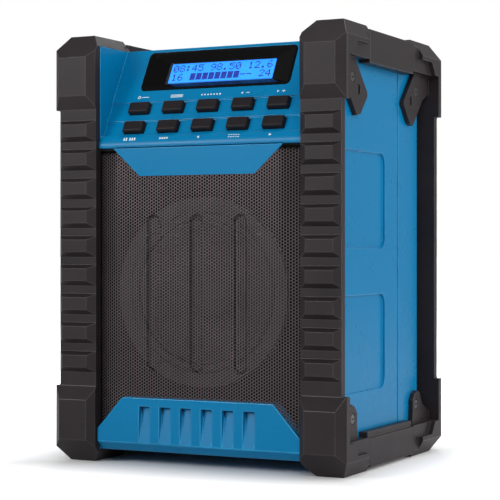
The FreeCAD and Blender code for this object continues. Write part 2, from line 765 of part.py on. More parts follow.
def rear_shell():
    """Blue rear half with hand recess, battery bay, socket recess and screw bosses."""
    outer = box(-case_half_width, case_half_width, split_y, case_rear, case_bottom, case_top)
    edges = [e for e in outer.Edges if abs(abs(e.tangentAt(e.FirstParameter).z) - 1) < 1e-6
             and e.Vertexes[0].Y > case_rear - 1]
    outer = outer.makeFillet(rear_corner_radius, edges)
    hollow = box(-case_half_width + side_wall, case_half_width - side_wall, split_y - 1, case_rear - side_wall,
                 case_bottom + wall, case_top - wall)
    shell = outer.cut(hollow)
    rear_in = case_rear - side_wall
    hand_wall = box(-hand_half_width - wall, hand_half_width + wall, hand_front - wall, case_rear,
                    hand_bottom - wall, case_top)
    hand = box(-hand_half_width, hand_half_width, hand_front, case_rear + 1, hand_bottom, case_top + 1)
    bay_wall_box = box(-bay_half_width - bay_wall, bay_half_width + bay_wall, bay_front - bay_wall, case_rear,
                       bay_bottom - bay_wall, bay_top + bay_wall)
    bay = box(-bay_half_width, bay_half_width, bay_front, case_rear + 1, bay_bottom, bay_top)
    rebate = box(-bay_half_width - door_lap, bay_half_width + door_lap, case_rear - door_thickness - fit,
                 case_rear + 1, bay_bottom - door_lap, bay_top + door_lap)
    frame = box(-bay_half_width - door_lap - 2, bay_half_width + door_lap + 2, rear_in - 2, rear_in,
                bay_bottom - door_lap - 2, bay_top + door_lap + 2)
    shell = shell.fuse(hand_wall).fuse(bay_wall_box).fuse(frame).cut(hand).cut(bay).cut(rebate)
    half_w, half_h = socket_panel_width / 2 + fit, socket_panel_height / 2 + fit
    back = box(-half_w - 2, half_w + 2, rear_in - 1.5, rear_in, socket_centre_z - half_h - 2,
               socket_centre_z + half_h + 2)
    pocket = box(-half_w, half_w, case_rear - flap_thickness - fit, case_rear + 1, socket_centre_z - half_h,
                 socket_centre_z + half_h)
    shell = shell.fuse(back).cut(pocket)
    for x, radius in socket_places():
        shell = shell.cut(rod(x, rear_in - 3, socket_centre_z, V(0, 1, 0), radius + fit, 12))
    for x in (-case_screw_x, case_screw_x):
        for z in case_screw_z:
            shell = shell.fuse(rod(x, split_y, z, V(0, 1, 0), boss_radius, rear_in + 1 - split_y))
            shell = shell.cut(rod(x, split_y - 1, z, V(0, 1, 0), case_screw_radius + 0.1, 60))
            shell = shell.cut(rod(x, split_y + 8, z, V(0, 1, 0), case_screw_head + 0.2, 60))
    for x in (-main_board_half_width + 6, main_board_half_width - 6):
        for z in (main_board_bottom + 6, main_board_top - 6):
            shell = shell.fuse(rod(x, board_y + board_thickness, z, V(0, 1, 0), 3.2,
                                   rear_in + 0.5 - board_y - board_thickness))
    for sign in (-1, 1):
        for z in (upper_screw_z, lower_screw_z):
            shell = shell.cut(rod(sign * (case_half_width + 1), screw_y, z, V(-sign, 0, 0),
                                  frame_screw_radius + 0.05, side_wall + 2))
    shell = shell.cut(hinge_room(socket_panel_width / 2, flap_hinge(), flap_thickness / 2)).cut(rebate)
    shell = shell.cut(hinge_room(bay_half_width + door_lap - fit, door_hinge(), hinge_radius))
    shell = shell.cut(seam_cut(split_y, split_y + seam_width))
    return shell.removeSplitter()


def case_screws():
    """Four long screws that hold the two case halves together."""
    solids = []
    for x in (-case_screw_x, case_screw_x):
        for z in case_screw_z:
            head = rod(x, split_y + 8, z, V(0, 1, 0), case_screw_head, 2.2)
            shank = rod(x, split_y - 12, z, V(0, 1, 0), case_screw_radius, 21)
            solids.append(head.fuse(shank).cut(box(x - 2, x + 2, split_y + 9.2, split_y + 11, z - 0.4, z + 0.4)))
    return Part.makeCompound(solids)


def frame_screws():
    """Eight screws through the ears of the cage."""
    solids = []
    for sign in (-1, 1):
        for y in (-screw_y, screw_y):
            for z in (upper_screw_z, lower_screw_z):
                seat = sign * (ear_plane - 1.6)
                head = rod(seat, y, z, V(sign, 0, 0), frame_screw_head_radius, 1.3)
                shank = rod(seat, y, z, V(-sign, 0, 0), frame_screw_radius, ear_plane - 1.6
                            - case_half_width + side_wall)
                cross = box(seat + sign * 1.3 - 0.7, seat + sign * 1.3 + 0.7, y - 1.4, y + 1.4, z - 0.3, z + 0.3)
                solids.append(head.fuse(shank).cut(cross))
    return Part.makeCompound(solids)


def door_hinge():
    """Point (y, z) of the battery door's hinge line."""
    return case_rear - hinge_radius + 0.5, bay_bottom - door_lap + fit + hinge_radius


def flap_hinge():
    """Point (y, z) of the socket flap's hinge line."""
    return case_rear - flap_thickness / 2, socket_centre_z - socket_panel_height / 2 + flap_thickness / 2 + fit


def hinge_barrel(half, point, radius):
    """Barrel with a pin at each end, along X."""
    y, z = point
    barrel = rod(-half, y, z, V(1, 0, 0), radius, 2 * half)
    return barrel.fuse(rod(-half - pin_length, y, z, V(1, 0, 0), pin_radius, 2 * half + 2 * pin_length))


def hinge_room(half, point, radius):
    """Space that a barrel and its pins need."""
    y, z = point
    room = rod(-half - fit, y, z, V(1, 0, 0), radius + 0.3, 2 * half + 2 * fit)
    return room.fuse(rod(-half - pin_length - fit, y, z, V(1, 0, 0), pin_radius + 0.05, 2 * (half + pin_length + fit)))


def battery_door():
    """Door of the battery bay, with its hinge barrel at the foot and a grip ridge."""
    half = bay_half_width + door_lap - fit
    y1 = case_rear
    low, high = bay_bottom - door_lap + fit, bay_top + door_lap - fit
    door = box(-half, half, y1 - door_thickness, y1, low + hinge_radius + 0.3, high)
    barrel = hinge_barrel(half, door_hinge(), hinge_radius)
    web = box(-half, half, y1 - hinge_radius - 0.2, y1, low + hinge_radius, low + hinge_radius + 1)
    for i in range(5):
        z = (low + high) / 2 + (i - 2) * 8
        door = door.fuse(box(-30, 30, y1 - 0.5, y1 + 0.8, z - 1, z + 1))
    hole = rod(0, y1 - door_thickness - 1, high - 8, V(0, 1, 0), 4.0 + fit, door_thickness + 3)
    return door.fuse(barrel).fuse(web).cut(hole).removeSplitter()


def door_screw():
    """Coin-slot fastener of the battery door."""
    z = bay_top + door_lap - fit - 8
    head = rod(0, case_rear - door_thickness + 0.2, z, V(0, 1, 0), 4.0, door_thickness + 0.8)
    slot = box(-3.4, 3.4, case_rear - 0.6, case_rear + 3, z - 0.6, z + 0.6)
    return head.cut(slot)


def battery_pack():
    """Row of upright round cells in the bay."""
    step = 2 * cell_radius - 0.4
    y = bay_front + cell_radius + 0.3
    first = -(cell_count - 1) / 2 * step
    pack = box(first, -first, y - 6, y + 6, bay_bottom + 0.1, bay_bottom + cell_length)
    for i in range(cell_count):
        pack = pack.fuse(rod(first + i * step, y, bay_bottom + 0.1, V(0, 0, 1), cell_radius, cell_length))
    return pack.removeSplitter()


def main_board():
    """Main circuit board on its bosses."""
    board = box(-main_board_half_width, main_board_half_width, board_y, board_y + board_thickness,
                main_board_bottom, main_board_top)
    return board


def tuner_module():
    """Screened tuner can on the main board."""
    low = main_board_bottom + 28.0
    return box(-tuner_offset - tuner_width, -tuner_offset, board_y - tuner_thickness, board_y, low,
               low + tuner_height)


def amplifier_heatsink():
    """Finned heatsink on the main board."""
    low = main_board_bottom + 26.0
    sink = box(sink_offset, sink_offset + sink_width, board_y - 3, board_y, low, low + sink_height)
    for i in range(fin_count):
        x = sink_offset + 0.5 + i * (sink_width - 2.6) / (fin_count - 1)
        sink = sink.fuse(box(x, x + 1.6, board_y - sink_depth, board_y - 2, low, low + sink_height))
    return sink.removeSplitter()


def socket(x, radius, bore, pin):
    """One round socket from the main board to the rear wall, with its bore and centre pin."""
    front = board_y + board_thickness
    end = case_rear - flap_thickness - fit - 0.4
    body = box(x - radius - 2, x + radius + 2, front, case_rear - side_wall - 1.7, socket_centre_z - radius - 2,
               socket_centre_z + radius + 2)
    nose = rod(x, front, socket_centre_z, V(0, 1, 0), radius, end - front)
    jack = body.fuse(nose).cut(rod(x, end - socket_bore_depth, socket_centre_z, V(0, 1, 0), bore, 12))
    if pin:
        jack = jack.fuse(rod(x, end - socket_bore_depth, socket_centre_z, V(0, 1, 0), pin, socket_bore_depth - 1))
    return jack.removeSplitter()


def usb_socket(x, radius):
    """Flat charging socket."""
    front = board_y + board_thickness
    end = case_rear - flap_thickness - fit - 0.4
    radius = radius - 0.7
    body = box(x - radius, x + radius, front, end, socket_centre_z - 1.8, socket_centre_z + 1.8)
    base = box(x - radius - 1, x + radius + 1, front, case_rear - side_wall - 1.7, socket_centre_z - 4,
               socket_centre_z + 4)
    hole = box(x - radius + 0.7, x + radius - 0.7, end - 7, end + 1, socket_centre_z - 1.1, socket_centre_z + 1.1)
    return body.fuse(base).cut(hole).removeSplitter()


def socket_flap():
    """Cover of the sockets, hinged along its lower edge."""
    half_w, half_h = socket_panel_width / 2, socket_panel_height / 2
    y0 = case_rear - flap_thickness
    flap = box(-half_w, half_w, y0, case_rear, socket_centre_z - half_h + 1.3, socket_centre_z + half_h)
    barrel = hinge_barrel(half_w, flap_hinge(), flap_thickness / 2)
    tab = box(-6, 6, case_rear - 0.5, case_rear + 1.6, socket_centre_z + half_h - 3, socket_centre_z + half_h - 1)
    return flap.fuse(barrel).fuse(tab).removeSplitter()


# Antenna, stowed across the rear

def antenna_bracket():
    """Pivot pin on the case's rear wall."""
    foot = rod(antenna_x, case_rear, antenna_z, V(0, 1, 0), 4.0, 0.5)
    pin = rod(antenna_x, case_rear, antenna_z, V(0, 1, 0), 1.2, 6.5)
    head = rod(antenna_x, case_rear + 6.2, antenna_z, V(0, 1, 0), 2.2, 0.8)
    return foot.fuse(pin).fuse(head)


def antenna_knuckle():
    """Eye that turns on the pivot pin and holds the mast."""
    eye = rod(antenna_x, case_rear + 0.6, antenna_z, V(0, 1, 0), 5.0, 5.5)
    grip = rod(antenna_x, antenna_y, antenna_z, V(-1, 0, 0), 3.0, 11)
    eye = eye.fuse(grip.common(box(0, antenna_x, case_rear + 0.6, case_rear + 6.1, antenna_z - 5, antenna_z + 5)))
    eye = eye.cut(rod(antenna_x, case_rear, antenna_z, V(0, 1, 0), 1.2 + 0.05, 8))
    return eye.cut(rod(antenna_x - 7, antenna_y, antenna_z, V(-1, 0, 0), mast_radii[0], 10))


def mast_tube(index):
    """One tube of the telescopic mast; the last one is a rod."""
    radius = mast_radii[index]
    start = antenna_x - 7 - index * 1.2
    end = antenna_x - 7 - mast_length - index * 1.5
    tube = rod(start, antenna_y, antenna_z, V(-1, 0, 0), radius, start - end)
    if index + 1 < len(mast_radii):
        tube = tube.cut(rod(start - 1.2, antenna_y, antenna_z, V(-1, 0, 0), mast_radii[index + 1] + mast_bore_gap, 200))
    return tube


def antenna_tip():
    """Button at the end of the mast."""
    end = antenna_x - 7 - mast_length - (len(mast_radii) - 1) * 1.5
    return rod(end, antenna_y, antenna_z, V(-1, 0, 0), antenna_tip_radius, 3.5)


def antenna_clip():
    """Open clip under the stowed mast."""
    x = antenna_x - 7 - mast_length + 12
    low = antenna_z - mast_radii[0] - 0.2
    return box(x - 3, x + 3, case_rear, antenna_y + 2.8, low - 1.6, low)


def build():
    """Make every sub-part and write it."""
    os.makedirs("parts", exist_ok=True)
    post = front_right_post()
    save("post_front_right", post)
    save("post_front_left", mirror_x(post))
    save("post_rear_right", mirror_y(post))
    save("post_rear_left", mirror_x(mirror_y(post)))
    for name, top in (("top_rail", True), ("bottom_rail", False)):
        side = rail(top)
        save(name + "_right", side)
        save(name + "_left", mirror_x(side))
    save("carry_bar", carry_bar())
    save("front_shell", front_shell())
    save("rear_shell", rear_shell())
    save("speaker_grille", speaker_grille())
    save("lower_trim", lower_trim())
    save("display_bezel", display_bezel())
    save("display_window", display_window())
    save("lcd_module", lcd_module())
    save("control_board", control_board())
    save("tact_switches", tact_switches())
    for i, (x, z) in enumerate(button_places()):
        row = "upper" if i < button_columns else "lower"
        save("button_%s_%d" % (row, i % button_columns + 1), button(x, z))
    save("speaker_basket", speaker_basket())
    save("speaker_gasket", speaker_gasket())
    save("speaker_screws", speaker_screws())
    save("speaker_surround", speaker_surround())
    save("speaker_cone", speaker_cone())
    save("dust_cap", dust_cap())
    save("voice_coil", voice_coil())
    save("speaker_spider", speaker_spider())
    save("speaker_magnet", speaker_magnet())
    save("case_screws", case_screws())
    save("frame_screws", frame_screws())
    save("battery_door", battery_door())
    save("door_screw", door_screw())
    save("battery_pack", battery_pack())
    save("main_board", main_board())
    save("tuner_module", tuner_module())
    save("amplifier_heatsink", amplifier_heatsink())
    places = socket_places()
    save("dc_socket", socket(*places[0], dc_bore_radius, dc_pin_radius))
    save("aux_socket", socket(*places[1], aux_bore_radius, 0))
    save("usb_socket", usb_socket(*places[2]))
    save("socket_flap", socket_flap())
    save("antenna_bracket", antenna_bracket())
    save("antenna_knuckle", antenna_knuckle())
    for i, name in enumerate(("antenna_lower_tube", "antenna_middle_tube", "antenna_tip_rod")):
        save(name, mast_tube(i))
    save("antenna_tip", antenna_tip())
    save("antenna_clip", antenna_clip())


build()
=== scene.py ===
"""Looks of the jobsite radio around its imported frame: finishes, grille, display, marks and studio.

Everything is in metres, in the frame's own axes: front towards -Y, +Z up.
"""
import json
import logging
import math
from dataclasses import dataclass
from enum import Enum
from typing import Iterable, Optional, Union

import bpy
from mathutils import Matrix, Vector


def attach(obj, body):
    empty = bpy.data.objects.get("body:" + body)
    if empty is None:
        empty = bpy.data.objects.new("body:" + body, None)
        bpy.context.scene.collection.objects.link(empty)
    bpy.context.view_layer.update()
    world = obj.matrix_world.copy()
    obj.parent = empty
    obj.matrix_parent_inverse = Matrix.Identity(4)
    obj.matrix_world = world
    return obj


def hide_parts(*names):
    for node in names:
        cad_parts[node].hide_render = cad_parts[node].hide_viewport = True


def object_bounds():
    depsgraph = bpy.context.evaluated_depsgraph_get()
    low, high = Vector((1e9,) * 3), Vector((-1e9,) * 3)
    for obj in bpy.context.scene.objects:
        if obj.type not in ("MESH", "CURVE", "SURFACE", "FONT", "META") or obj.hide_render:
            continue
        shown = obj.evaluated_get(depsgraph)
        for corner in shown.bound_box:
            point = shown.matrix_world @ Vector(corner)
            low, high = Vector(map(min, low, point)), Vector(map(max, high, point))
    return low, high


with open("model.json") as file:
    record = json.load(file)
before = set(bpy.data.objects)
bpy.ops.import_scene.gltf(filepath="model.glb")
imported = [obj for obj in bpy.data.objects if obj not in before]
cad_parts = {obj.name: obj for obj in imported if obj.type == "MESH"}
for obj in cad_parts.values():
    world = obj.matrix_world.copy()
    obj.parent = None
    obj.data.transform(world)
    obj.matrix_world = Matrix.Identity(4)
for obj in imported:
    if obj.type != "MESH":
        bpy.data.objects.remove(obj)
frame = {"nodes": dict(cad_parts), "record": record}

CAD_BOX = [list(corner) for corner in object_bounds()]
LOG = logging.getLogger("radio")
MM = 0.001
Number = Union[int, float]
WHITE = (1.0, 1.0, 1.0, 1.0)

GLOSS_SHARE = 0.15  # of the white background that glossy rays see; in full it turns dark plastic hazy
SHADED_EDGE = 0.25 * MM
BAFFLE_DULLING = 0.4

CLOUD_CELLS = 35.0  # per metre, of the broad unevenness in tone and gloss
CLOUD_SHARE = 0.6
TONE_RANGE = (0.35, 0.65)
GLOSS_RANGE = (0.3, 0.7)
COAT_ROUGHNESS = 0.12

MERGE_DISTANCE = 0.002 * MM
FLAT_ANGLE = math.radians(0.6)
SHARP_ANGLE = math.radians(24)


def srgb(red: int, green: int, blue: int) -> tuple[float, float, float, float]:
    """Linear colour of a display colour.

    Args:
        red: 0 to 255.
        green: 0 to 255.
        blue: 0 to 255.

    Returns:
        Linear red, green, blue and an alpha of 1.
    """
    parts = [channel / 255 for channel in (red, green, blue)]
    linear = [c / 12.92 if c <= 0.04045 else ((c + 0.055) / 1.055) ** 2.4 for c in parts]
    return (linear[0], linear[1], linear[2], 1.0)


class Value:
    """A shader socket that Python's operators turn into Math nodes."""

    def __init__(self, graph: "Graph", socket: bpy.types.NodeSocket) -> None:
        """Keep the graph and the socket."""
        self.graph = graph
        self.socket = socket

    def __add__(self, other: Union["Value", Number]) -> "Value":
        """Sum."""
        return self.graph.math("ADD", self, other)

    __radd__ = __add__

    def __mul__(self, other: Union["Value", Number]) -> "Value":
        """Product."""
        return self.graph.math("MULTIPLY", self, other)

    __rmul__ = __mul__

    def __sub__(self, other: Union["Value", Number]) -> "Value":
        """Difference."""
        return self.graph.math("SUBTRACT", self, other)

    def __rsub__(self, other: Number) -> "Value":
        """Difference from a number."""
        return self.graph.math("SUBTRACT", other, self)


class Graph:
    """Node tree of one material or world."""

    def __init__(self, tree: bpy.types.NodeTree) -> None:
        """Keep an emptied tree."""
        self.tree = tree
        tree.nodes.clear()

    def node(self, kind: str, settings: Optional[dict] = None,
             inputs: Optional[dict] = None) -> bpy.types.Node:
        """Add a node.

        Args:
            kind: Blender's node type.
            settings: the node's own properties.
            inputs: values or links by socket name or number.

        Returns:
            The new node.
        """
        made = self.tree.nodes.new(kind)
        for name, value in (settings or {}).items():
            setattr(made, name, value)
        for name, value in (inputs or {}).items():
            socket = made.inputs[name]
            if isinstance(value, Value):
                value = value.socket
            if isinstance(value, bpy.types.NodeSocket):
                self.tree.links.new(value, socket)
            else:
                socket.default_value = value
        return made

    def math(self, operation: str, first: Union[Value, Number], second: Union[Value, Number]) -> Value:
        """One Math node on two values."""
        made = self.node("ShaderNodeMath", {"operation": operation}, {0: first, 1: second})
        return Value(self, made.outputs[0])

    def noise(self, scale: float, detail: float = 3.0, stretch: tuple = (1.0, 1.0, 1.0)) -> Value:
        """Noise over the piece's own space, from 0 to 1.

        Args:
            scale: cells per metre.
            detail: octaves.
            stretch: scale along each axis.

        Returns:
            The noise's value.
        """
        place = self.node("ShaderNodeTexCoord").outputs["Object"]
        spread = self.node("ShaderNodeMapping", None, {"Vector": place, "Scale": stretch}).outputs[0]
        made = self.node("ShaderNodeTexNoise", None, {"Vector": spread, "Scale": scale, "Detail": detail})
        return Value(self, made.outputs["Fac"])

    def ramp(self, value: Value, low: float, high: float) -> Value:
        """Value stretched so that low gives 0 and high gives 1, and held between them."""
        limits = {"Value": value, "From Min": low, "From Max": high}
        return Value(self, self.node("ShaderNodeMapRange", {"clamp": True}, limits).outputs[0])

    def background_ray(self) -> Value:
        """How much of the white background a ray sees.

        Returns:
            1 for the camera and through glass, GLOSS_SHARE for glossy rays and 0 for the rest.
        """
        path = self.node("ShaderNodeLightPath").outputs
        gloss = Value(self, path["Is Glossy Ray"]) * GLOSS_SHARE
        camera, glass = Value(self, path["Is Camera Ray"]), Value(self, path["Is Transmission Ray"])
        return self.math("MAXIMUM", self.math("MAXIMUM", camera, glass), gloss)

    def axes(self, place: bpy.types.NodeSocket) -> list[Value]:
        """The three numbers of a vector."""
        return [Value(self, part) for part in self.node("ShaderNodeSeparateXYZ", None, {0: place}).outputs]

    def output(self, kind: str, factor: Value, first: bpy.types.NodeSocket,
               second: bpy.types.NodeSocket) -> None:
        """Mix of two shaders as the tree's result.

        Args:
            kind: Blender's type of output node.
            factor: the second shader's share.
            first: the first shader.
            second: the second shader.
        """
        mixed = self.node("ShaderNodeMixShader", None, {0: factor, 1: first, 2: second})
        self.node(kind, None, {"Surface": mixed.outputs[0]})

    def inside(self, low: tuple, high: tuple) -> Value:
        """Mask of a box in the piece's own space.

        Args:
            low: the box's lower corner.
            high: its upper corner.

        Returns:
            1 inside and 0 outside.
        """
        mask: Union[Value, Number] = 1
        place = self.node("ShaderNodeTexCoord").outputs["Object"]
        for along, least, most in zip(self.axes(place), low, high):
            above = self.math("GREATER_THAN", along, least)
            mask = mask * above * self.math("LESS_THAN", along, most)
        return mask

    def blend(self, amount: Union[Value, Number], first: Union[tuple, bpy.types.NodeSocket],
              second: tuple) -> bpy.types.NodeSocket:
        """Mix of two colours."""
        made = self.node("ShaderNodeMix", {"data_type": "RGBA"}, {0: amount, 6: first, 7: second})
        return made.outputs[2]

    def bump(self, height: Value, distance: float, round_edges: bool) -> bpy.types.NodeSocket:
        """Normal raised by a height.

        Args:
            height: the height.
            distance: its depth in metres.
            round_edges: whether sharp edges are shaded as rounded by a hair.

        Returns:
            The normal.
        """
        made = self.node("ShaderNodeBump", None, {"Height": height, "Distance": distance})
        if round_edges:
            soft = self.node("ShaderNodeBevel", {"samples": 4}, {"Radius": SHADED_EDGE}).outputs[0]
            self.tree.links.new(soft, made.inputs["Normal"])
        return made.outputs[0]


MADE: dict[str, bpy.types.Material] = {}


@dataclass(frozen=True)
class Region:
    """Box in the frame's space whose surfaces get their own paint."""

    colour: tuple
    low: tuple
    high: tuple


# Near-black paint on the front shell inside the grille's recess. On the recess side walls beside the grille
# it is painted shade; behind the grille it makes the baffle near black.
GRILLE_RECESS_DARK_WITH_PAINTED_SHADE = Region(srgb(9, 9, 10), (-0.0705, -0.0705, 0.012), (0.0705, -0.030, 0.1829))


@dataclass(frozen=True)
class Finish:
    """Moulded or coated surface: colour, gloss, fine grain and light soiling."""

    name: str
    colour: tuple
    roughness: float = 0.4
    metallic: float = 0.0
    coat: float = 0.0
    grain: float = 2500.0
    grain_depth: float = 0.00003
    variation: float = 0.12
    smudge: float = 0.08
    stretch: tuple = (1.0, 1.0, 1.0)
    alpha: float = 1.0
    glow: float = 0.0
    specular: float = 0.5
    round_edges: bool = False
    region: Optional[Region] = None

    def material(self) -> bpy.types.Material:
        """Material of this finish, made once.

        Returns:
            The material.
        """
        if self.name in MADE:
            return MADE[self.name]
        made = MADE[self.name] = bpy.data.materials.new("finish_" + self.name)
        made.use_nodes = True
        graph = Graph(made.node_tree)
        cloud = graph.noise(CLOUD_CELLS, 4.0, self.stretch)
        grain = graph.noise(self.grain, 2.0, self.stretch)
        low, high = (tuple(min(1.0, c * shade) for c in self.colour[:3]) + (1.0,)
                     for shade in (1 - self.variation, 1 + self.variation))
        tone = graph.ramp(cloud * CLOUD_SHARE + grain * (1 - CLOUD_SHARE), *TONE_RANGE)
        gloss = graph.ramp(cloud, *GLOSS_RANGE) * self.smudge + (self.roughness - self.smudge / 2)
        paint = graph.blend(tone, low, high)
        # Inside the region the colour turns to the region's colour: for the front shell, painted shade on the
        # grille recess walls and near black behind the grille.
        if self.region:
            inside = graph.inside(self.region.low, self.region.high)
            paint = graph.blend(inside, paint, self.region.colour)
            gloss = gloss + inside * BAFFLE_DULLING
        settings = {"Base Color": paint, "Roughness": gloss, "Metallic": self.metallic,
                    "Coat Weight": self.coat, "Coat Roughness": COAT_ROUGHNESS,
                    "Specular IOR Level": self.specular, "Alpha": self.alpha,
                    "Normal": graph.bump(grain, self.grain_depth, self.round_edges)}
        if self.glow:
            settings["Emission Color"] = graph.blend(tone, low, high)
            settings["Emission Strength"] = self.glow
        shader = graph.node("ShaderNodeBsdfPrincipled", None, settings)
        graph.node("ShaderNodeOutputMaterial", None, {"Surface": shader.outputs[0]})
        return made


class Finishes(Enum):
    """Every finish of the radio."""

    CASE = Finish("blue_case", srgb(0, 122, 174), 0.28, grain=1800.0, grain_depth=0.000001, variation=0.03,
                  smudge=0.03, specular=0.15)
    FRONT = Finish("blue_front", srgb(0, 122, 174), 0.28, grain=1800.0, grain_depth=0.000001, variation=0.03,
                   smudge=0.03, specular=0.15, region=GRILLE_RECESS_DARK_WITH_PAINTED_SHADE)
    CAGE = Finish("textured_cage", srgb(43, 38, 40), 0.4, grain=2600.0, grain_depth=0.00004, variation=0.14,
                  specular=0.2)
    GRILLE = Finish("painted_grille", srgb(100, 91, 94), 0.34, metallic=0.6, grain=4000.0,
                    grain_depth=0.000006, specular=0.4)
    # Lighter colours for the bevel faces of the case and cage: edge wear, together with a painted highlight
    # along the edges.
    CASE_EDGE = Finish("worn_highlit_case_edge", srgb(26, 138, 190), 0.22, grain=1800.0, grain_depth=0.000001,
                       variation=0.3, smudge=0.1, specular=0.4, region=GRILLE_RECESS_DARK_WITH_PAINTED_SHADE)
    CAGE_EDGE = Finish("worn_highlit_cage_edge", srgb(55, 50, 52), 0.3, grain=2600.0, grain_depth=0.00002,
                       variation=0.3, smudge=0.15, specular=0.3)
    BUTTON = Finish("button_plastic", srgb(34, 30, 33), 0.42, grain=3500.0, specular=0.15)
    BEZEL = Finish("glossy_black", srgb(7, 7, 8), 0.16, round_edges=True, grain=1500.0,
                   grain_depth=0.000002, smudge=0.05, specular=0.12)
    WINDOW = Finish("clear_window", srgb(210, 225, 240), 0.06, grain=900.0, grain_depth=0.000001,
                    alpha=0.03, smudge=0.02, specular=0.1)
    SCREEN = Finish("lit_screen", srgb(24, 138, 255), 0.3, grain=6000.0, grain_depth=0.0, variation=0.1,
                    glow=0.9, specular=0.2)
    INK = Finish("screen_dots", srgb(0, 38, 150), 0.3, grain=6000.0, grain_depth=0.0, glow=0.35,
                 specular=0.1)
    MARK = Finish("printed_mark", srgb(225, 235, 240), grain=5000.0, grain_depth=0.000004, variation=0.04)
    BOARD = Finish("solder_mask", srgb(18, 92, 48), 0.3, coat=0.4, grain=1200.0)
    DARK = Finish("black_moulding", srgb(24, 24, 26), round_edges=True, grain=3000.0)
    STEEL = Finish("plated_steel", srgb(168, 166, 162), 0.32, round_edges=True, metallic=1.0, grain=1800.0,
                   stretch=(1.0, 1.0, 6.0))
    BRIGHT = Finish("bright_plating", srgb(205, 206, 210), 0.14, round_edges=True, metallic=1.0,
                    grain=1500.0, grain_depth=0.000003)
    SCREW = Finish("black_screw", srgb(96, 94, 96), 0.24, round_edges=True, metallic=0.9, specular=0.4)
    SPEAKER_SCREW = Finish("dull_screw", srgb(40, 38, 39), metallic=0.6)
    RUBBER = Finish("soft_rubber", srgb(30, 30, 31), 0.7, round_edges=True, grain=2200.0,
                    grain_depth=0.00005)
    CONE = Finish("pressed_paper", srgb(38, 36, 36), 0.75, grain=1400.0, grain_depth=0.0001, variation=0.2)
    COIL = Finish("coil_former", srgb(176, 122, 72), 0.35, metallic=0.8, grain=2600.0,
                  stretch=(1.0, 12.0, 1.0))
    FERRITE = Finish("ferrite", srgb(64, 64, 66), 0.55, metallic=0.5, grain=1200.0)
    WRAP = Finish("cell_wrap", srgb(34, 110, 70), 0.25, coat=0.4, grain=900.0)
    SINK = Finish("bare_aluminium", srgb(190, 191, 195), 0.35, metallic=1.0, grain=1500.0,
                  stretch=(1.0, 1.0, 8.0))


SLOT_FINISHES = {
    "blue_shell": Finishes.CASE, "cage_plastic": Finishes.CAGE, "grille_metal": Finishes.GRILLE,
    "button_plastic": Finishes.BUTTON, "bezel_plastic": Finishes.BEZEL, "window_glass": Finishes.WINDOW,
    "lcd_glass": Finishes.DARK, "circuit_board": Finishes.BOARD, "dark_plastic": Finishes.DARK,
    "steel": Finishes.STEEL, "bright_metal": Finishes.BRIGHT, "soft_rubber": Finishes.RUBBER,
    "paper_cone": Finishes.CONE, "coil_former": Finishes.COIL, "ferrite": Finishes.FERRITE,
    "cell_wrap": Finishes.WRAP, "bare_aluminium": Finishes.SINK,
}
# Bevel faces of the case and cage take the lighter edge finishes: wear plus a painted highlight.
EDGE_FINISHES = {"blue_shell": Finishes.CASE_EDGE, "cage_plastic": Finishes.CAGE_EDGE}
NODE_SLOT = {entry["node"]: entry["material_slot"] for entry in frame["record"]["subparts"]}
NODE_BODY = {node: body for body, nodes in frame["record"]["behaviour"]["bodies"].items()
             for node in nodes}


def only(piece: bpy.types.Object) -> None:
    """Select one object and make it active.

    Args:
        piece: the object.
    """
    bpy.ops.object.select_all(action="DESELECT")
    piece.select_set(True)
    bpy.context.view_layer.objects.active = piece


def dress(piece: bpy.types.Object, finish: Finishes) -> None:
    """Give an object one finish, as its first material.

    Args:
        piece: the object.
        finish: its finish.
    """
    if piece.data.materials:
        piece.data.materials[0] = finish.value.material()
    else:
        piece.data.materials.append(finish.value.material())


def settle(piece: bpy.types.Object, name: str, body: str, finish: Finishes) -> bpy.types.Object:
    """Name, place, dress and mount a finished piece.

    Args:
        piece: the new object.
        name: its name.
        body: the CAD body that it rides on.
        finish: its finish.

    Returns:
        The same object, with its place in its mesh.
    """
    only(piece)
    bpy.ops.object.transform_apply(location=True, rotation=True, scale=True)
    piece.name = name
    dress(piece, finish)
    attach(piece, body)
    LOG.info("piece %s: %d faces", name, len(piece.data.polygons))
    return piece


def softened(node: str, width: float, segments: int = 2, clamp: bool = True) -> bpy.types.Object:
    """Moulded copy of a CAD node with its sharp edges rounded.

    Args:
        node: the CAD node.
        width: width of the rounding.
        segments: faces across the rounding.
        clamp: whether the shortest edge limits the width everywhere.

    Returns:
        The new piece, which stands for the node.
    """
    piece = bpy.data.objects.new(node + "_moulding", frame["nodes"][node].data.copy())
    bpy.context.scene.collection.objects.link(piece)
    only(piece)
    piece.data.materials.clear()
    for name in ("body", "edge"):
        piece.data.materials.append(bpy.data.materials.get(name) or bpy.data.materials.new(name))
    for polygon in piece.data.polygons:
        polygon.material_index = 0
    bpy.ops.mesh.customdata_custom_splitnormals_clear()
    bpy.ops.object.mode_set(mode="EDIT")
    bpy.ops.mesh.select_all(action="SELECT")
    bpy.ops.mesh.remove_doubles(threshold=MERGE_DISTANCE)
    bpy.ops.mesh.dissolve_limited(angle_limit=FLAT_ANGLE)
    bpy.ops.object.mode_set(mode="OBJECT")
    bpy.ops.object.shade_smooth_by_angle(angle=SHARP_ANGLE)
    bevel = piece.modifiers.new("edges", "BEVEL")
    bevel.harden_normals = True
    bevel.material = 1
    bevel.use_clamp_overlap = clamp
    bevel.width = width
    bevel.segments = segments
    bevel.limit_method = "ANGLE"
    bevel.angle_limit = SHARP_ANGLE
    bpy.ops.object.modifier_apply(modifier=bevel.name)
    slot = NODE_SLOT[node]
    finish = Finishes.FRONT if node == "front_shell" else SLOT_FINISHES[slot]
    settle(piece, node + "_moulding", NODE_BODY[node], finish)
    # The bevel faces take the lighter edge finish: wear plus a painted highlight along the edges.
    piece.data.materials[1] = EDGE_FINISHES.get(slot, finish).value.material()
    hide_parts(node)
    return piece


